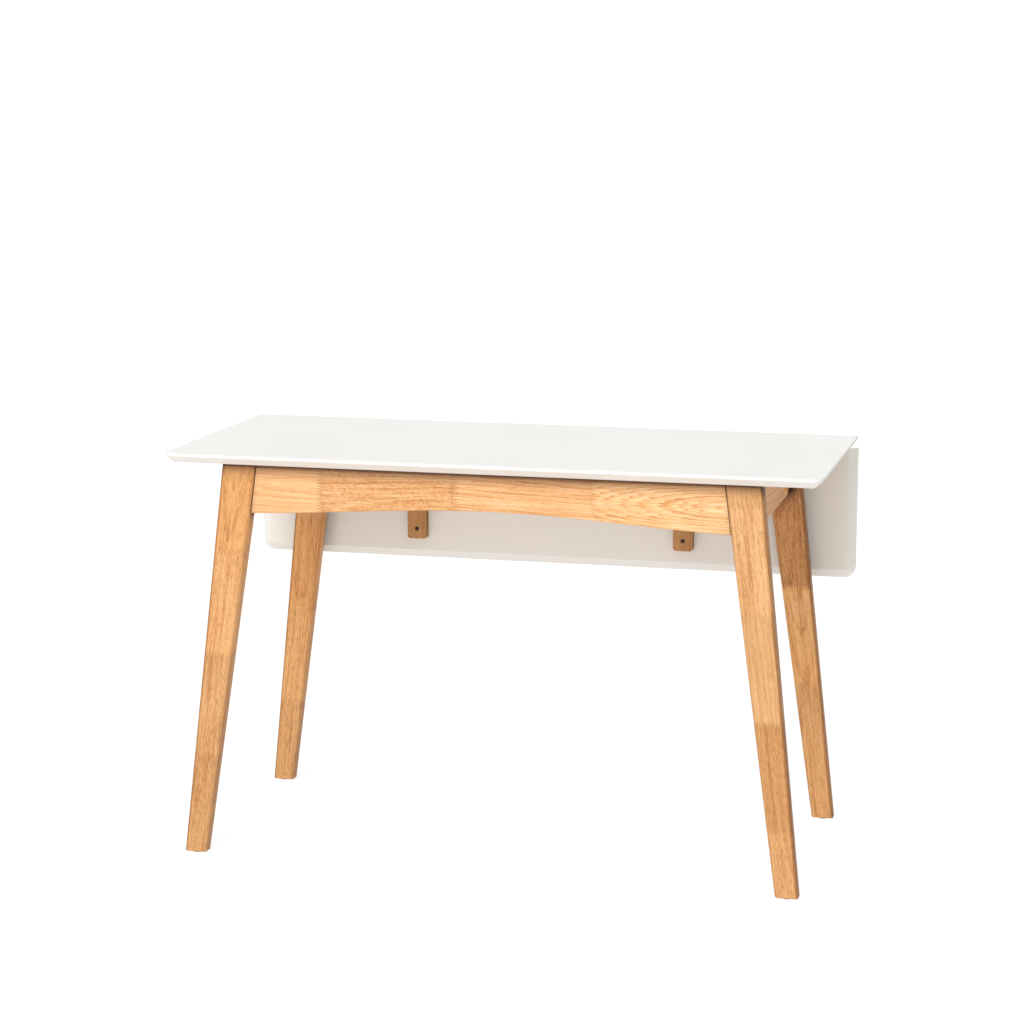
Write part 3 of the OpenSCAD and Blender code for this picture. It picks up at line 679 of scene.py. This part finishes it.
def block_stock(co, n):
    """Corner blocks: the grain runs level, along the slanting block, and differs in each."""
    mid = co.mean(0)
    d = Vector((1.0, -1.0, 0.0)) if mid[0] * (mid[1] - MID_Y) > 0 else Vector((1.0, 1.0, 0.0))
    d.normalize()
    s = co - mid
    return np.stack([s[:, 0] * d.x + s[:, 1] * d.y + 3.1 * mid[0], s[:, 2] + 2.0 * mid[1],
                     s[:, 0] * -d.y + s[:, 1] * d.x], 1)


keep([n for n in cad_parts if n.startswith("corner_block_") and "screws" not in n],
     HIDDEN_WOOD, 0.0012, block_stock)
keep(["apron_dowels"], HIDDEN_WOOD, 0.0, lambda co, n: co)
keep(["top_brackets", "hinge_top_plates", "hinge_leaf_plates", "lock_bracket_left",
      "lock_bracket_right", "lock_arm_left", "lock_arm_right", "hanger_washers"], ZINC, 0.0003)
keep(["hanger_nuts"], ZINC, 0.0006)
keep(["hanger_bolts", "hinge_pins", "lock_pivot_pins", "bolt_housings"], ZINC, 0.0004)
keep(["latch_bolt_left", "latch_bolt_right"], ZINC, 0.0006, segments=3)
keep(["foot_glides", "leaf_bumpers"], BLACK, 0.0005)


# ---------------------------------------------------------------- screws

def islands(obj):
    """The vertices of each separate solid in a node."""
    bm = bmesh.new()
    bm.from_mesh(obj.data)
    bmesh.ops.remove_doubles(bm, verts=bm.verts, dist=WELD)
    seen, groups = set(), []
    for start in bm.verts:
        if start in seen:
            continue
        stack, group = [start], []
        seen.add(start)
        while stack:
            v = stack.pop()
            group.append(v.co.copy())
            for e in v.link_edges:
                o = e.other_vert(v)
                if o not in seen:
                    seen.add(o)
                    stack.append(o)
        groups.append(np.array(group))
    bm.free()
    return groups


def axis_of(points):
    """The head's middle, the direction from the head to the point, the length and the radii."""
    low, high = points.min(0), points.max(0)
    k = int(np.argmax(high - low))
    mid = (low + high) / 2
    others = [i for i in range(3) if i != k]

    def widest(at):
        near = points[np.abs(points[:, k] - at) < SAME]
        return np.hypot(*(near[:, others] - mid[others]).T).max()
    at_low, at_high = widest(low[k]), widest(high[k])
    head_low = at_low > at_high
    head = mid.copy()
    head[k] = low[k] if head_low else high[k]
    way = np.zeros(3)
    way[k] = 1.0 if head_low else -1.0
    return (Vector(head), Vector(way), high[k] - low[k], max(at_low, at_high),
            min(at_low, at_high))


def cross_outline(reach, half, z):
    """A cross with arms that reach from the middle and are twice half wide."""
    points = []
    for i in range(4):
        c, s = math.cos(i * math.pi / 2), math.sin(i * math.pi / 2)
        for x, y in ((reach, -half), (reach, half), (half, half)):
            points.append((x * c - y * s, x * s + y * c, z))
    return points


def between(a, b, start_a, start_b):
    """Triangles between two loops round the same middle, each given by its angles in order."""
    faces, i, j = [], 0, 0
    na, nb = len(a), len(b)
    while i < na or j < nb:
        next_a = a[i + 1] if i + 1 < na else a[0] + 2 * math.pi
        next_b = b[j + 1] if j + 1 < nb else b[0] + 2 * math.pi
        pa, pb = start_a + i % na, start_b + j % nb
        if j >= nb or (i < na and next_a <= next_b):
            faces.append((pa, start_a + (i + 1) % na, pb))
            i += 1
        else:
            faces.append((pa, start_b + (j + 1) % nb, pb))
            j += 1
    return faces


def screw_mesh(length, head_r, shank_r, head_h, pan):
    """A screw with its head's face at z = 0 and its point at -Z, a cross recess and a thread."""
    n = 24
    if pan:
        profile = [(head_r * 0.62, 0.0), (head_r * 0.86, -0.0004), (head_r, -0.0012),
                   (head_r, -head_h)]
    else:
        profile = [(head_r * 0.93, 0.0), (head_r, -0.0002)]
    profile.append((shank_r, -head_h))
    z, pitch, core_r = -head_h - 0.001, 0.0016, shank_r * 0.76
    while z - pitch > -length + 0.004:
        profile += [(core_r, z - pitch * 0.3), (core_r, z - pitch * 0.6), (shank_r, z - pitch)]
        z -= pitch
    profile += [(shank_r * 0.7, -length + 0.003), (0.0002, -length)]
    turn = [2 * math.pi * i / n + 0.01 for i in range(n)]
    rings = [[(r * math.cos(a), r * math.sin(a), z) for a in turn] for r, z in profile]
    verts, faces = loft(rings, closed_ends=False)
    faces.append(tuple(range(len(verts) - n, len(verts))))
    reach, half, sink = head_r * 0.56, head_r * 0.15, min(0.0014, head_h * 0.8)
    mouth = cross_outline(reach, half, 0.0)
    foot = cross_outline(reach * 0.62, half * 0.8, -sink)
    at, m = len(verts), len(mouth)
    verts += mouth + foot
    # The mouth's angles start again at its first point above the X axis
    order = [math.atan2(p[1], p[0]) % (2 * math.pi) for p in mouth]
    first = int(np.argmin(order))
    order = order[first:] + order[:first]
    faces += [tuple(f if f < at else at + (f - at + first) % m for f in face)
              for face in between(turn, order, 0, at)]
    for j in range(m):
        k = (j + 1) % m
        faces.append((at + j, at + k, at + m + k, at + m + j))
    faces.append(tuple(at + m + j for j in range(m)))
    return verts, faces


PAN_HEAD_H, FLAT_HEAD_H = 0.0025, 0.0018


def screws(node, material, body, pan=False):
    """One piece with a detailed screw in the place of each plain one in a CAD node."""
    verts, faces = [], []
    for i, points in enumerate(islands(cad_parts[node])):
        head, way, length, head_r, shank_r = axis_of(points)
        v, f = screw_mesh(length, head_r, shank_r, PAN_HEAD_H if pan else FLAT_HEAD_H, pan)
        turn = (-way).to_track_quat("Z", "Y").to_matrix() @ Matrix.Rotation(0.7 * i, 3, "Z")
        faces += [tuple(len(verts) + k for k in face) for face in f]
        verts += [head + turn @ Vector(p) for p in v]
    make(node + "_cross", verts, faces, material, body, node, angle=40.0)


screws("corner_block_screws", ZINC, "frame", pan=True)
screws("top_bracket_screws", ZINC, "frame")
screws("hinge_top_screws", ZINC, "frame")
screws("lock_bracket_screws", ZINC, "frame")
screws("hinge_leaf_screws", ZINC, "leaf")
screws("lock_arm_screws", ZINC, "leaf")
screws("batten_screws", DARK_ZINC, "leaf")


# ---------------------------------------------------------------- battens

def batten(node):
    """The batten as packed, with its lower corners rounded and every edge softened."""
    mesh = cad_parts[node].data.copy()
    low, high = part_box(node)
    bm = bmesh.new()
    bm.from_mesh(mesh)
    bmesh.ops.remove_doubles(bm, verts=bm.verts, dist=WELD)
    bmesh.ops.dissolve_limit(bm, angle_limit=math.radians(1), verts=bm.verts, edges=bm.edges)

    def is_corner(e, at_z):
        """Whether an edge runs through the batten at one of its corners."""
        a, b = (v.co for v in e.verts)
        through = abs(a.x - b.x) < SAME and abs(a.z - b.z) < SAME and abs(a.y - b.y) > 0.01
        at_side = min(abs(a.x - low.x), abs(a.x - high.x)) < 1e-4
        return through and at_side and abs(a.z - at_z) < 1e-4
    for z, r in ((low.z, BATTEN_LOW_R), (high.z, BATTEN_HIGH_R)):
        corners = [e for e in bm.edges if is_corner(e, z)]
        bmesh.ops.bevel(bm, geom=corners, offset=r, segments=6, profile=0.5, affect="EDGES")
    bm.to_mesh(mesh)
    bm.free()
    obj = bpy.data.objects.new(node + "_wood", mesh)
    bpy.context.scene.collection.objects.link(obj)
    mesh.materials.clear()
    mesh.materials.append(BATTEN_WOOD)
    co = coords(mesh)
    mid = (low + high) / 2
    set_values(mesh, "stock", "FLOAT_VECTOR",
               np.stack([co[:, 2] + 2.0 * mid.x, co[:, 0] - mid.x, co[:, 1] - mid.y], 1))
    soft = obj.modifiers.new("soft", "BEVEL")
    soft.width = BATTEN_SOFT
    soft.segments = 2
    soft.limit_method = "ANGLE"
    soft.angle_limit = math.radians(50)
    smooth(obj)
    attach(obj, "leaf")
    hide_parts(node)


batten("leaf_batten_left")
batten("leaf_batten_right")


# ---------------------------------------------------------------- floor, light and camera

def floor():
    mesh = bpy.data.meshes.new("floor")
    half = 30.0
    mesh.from_pydata([(-half, -half, 0), (half, -half, 0), (half, half, 0), (-half, half, 0)], [],
                     [(0, 1, 2, 3)])
    obj = bpy.data.objects.new("floor", mesh)
    bpy.context.scene.collection.objects.link(obj)
    m = bpy.data.materials.new("floor_paint")
    g = Graph(m)
    # The floor lights the table as warm white paper, and looks plain white itself
    matt = g.node("BsdfDiffuse", {"Color": (0.46, 0.445, 0.43, 1.0)})
    lift = g.node("Emission", {"Color": (1.0, 0.965, 0.93, 1.0), "Strength": 0.50})
    bounce = g.node("AddShader", {0: matt.outputs[0], 1: lift.outputs[0]})
    paint = g.node("BsdfDiffuse", {"Color": (0.22, 0.22, 0.22, 1.0)})
    glow = g.node("Emission", {"Color": (1.0, 1.0, 1.0, 1.0), "Strength": 0.88})
    seen = g.node("AddShader", {0: paint.outputs[0], 1: glow.outputs[0]})
    path = g.node("LightPath").outputs["Is Camera Ray"]
    both = g.node("MixShader", {0: path, 1: bounce.outputs[0], 2: seen.outputs[0]})
    # The floor is open from below, so that the underside can be looked at
    clear = g.node("BsdfTransparent")
    back = g.node("NewGeometry").outputs["Backfacing"]
    mixed = g.node("MixShader", {0: back, 1: both.outputs[0], 2: clear.outputs[0]})
    g.tree.links.new(mixed.outputs[0], g.out.inputs[0])
    mesh.materials.append(m)


def sun(name, azimuth, elevation, strength, spread, colour=(1.0, 1.0, 1.0)):
    """A soft distant light. Azimuth 0 comes from the front, -90 from the left."""
    data = bpy.data.lights.new(name, "SUN")
    data.energy = strength * math.pi
    data.angle = math.radians(spread)
    data.color = colour
    obj = bpy.data.objects.new(name, data)
    bpy.context.scene.collection.objects.link(obj)
    a, e = math.radians(azimuth), math.radians(elevation)
    towards = Vector((-math.sin(a) * math.cos(e), math.cos(a) * math.cos(e), -math.sin(e)))
    obj.rotation_euler = towards.to_track_quat("-Z", "Y").to_euler()
    obj.location = -towards * 5
    return obj


def studio_world():
    """White to the camera, bright to reflections, and a faint fill light to the rest."""
    world = bpy.data.worlds.new("studio")
    bpy.context.scene.world = world
    world.use_nodes = True
    tree = world.node_tree
    tree.nodes.clear()
    out = tree.nodes.new("ShaderNodeOutputWorld")
    path = tree.nodes.new("ShaderNodeLightPath")

    def sky(colour, strength):
        n = tree.nodes.new("ShaderNodeBackground")
        n.inputs["Color"].default_value = (*colour, 1.0)
        n.inputs["Strength"].default_value = strength
        return n.outputs[0]

    def choose(ray, otherwise, chosen):
        n = tree.nodes.new("ShaderNodeMixShader")
        tree.links.new(path.outputs[ray], n.inputs[0])
        tree.links.new(otherwise, n.inputs[1])
        tree.links.new(chosen, n.inputs[2])
        return n.outputs[0]
    lit = sky((1.0, 0.985, 0.96), 0.09)
    mirrored = sky((1.0, 1.0, 0.99), 0.80)
    seen = sky((1.0, 1.0, 1.0), 1.05)
    shader = choose("Is Camera Ray", choose("Is Glossy Ray", lit, mirrored), seen)
    tree.links.new(shader, out.inputs[0])


floor()
studio_world()
sun("softbox", -13, 42, 0.60, 30)
sun("front_fill", 2, 3, 0.40, 44, (1.0, 0.985, 0.965))
sun("overhead", 0, 84, 0.45, 30)
# The rear fill lights the leaf and the rear faces, and isn't mirrored in the top
sun("rear_fill", -165, 12, 0.26, 60).visible_glossy = False

CAMERA_PLACE = (1.12235, -4.54215, 1.45833)
CAMERA_TURN, CAMERA_DOWN, CAMERA_ROLL = 14.05, 10.06, -0.06    # degrees

cam_data = bpy.data.cameras.new("camera")
cam = bpy.data.objects.new("camera", cam_data)
bpy.context.scene.collection.objects.link(cam)
cam.location = CAMERA_PLACE
cam.rotation_euler = [math.radians(a) for a in (90 - CAMERA_DOWN, CAMERA_ROLL, CAMERA_TURN)]
cam_data.sensor_width = 36.0
cam_data.lens = 89.45
cam_data.shift_y = -0.0039
cam_data.clip_end = 200.0
bpy.context.scene.camera = cam
bpy.context.scene.view_settings.view_transform = "Standard"
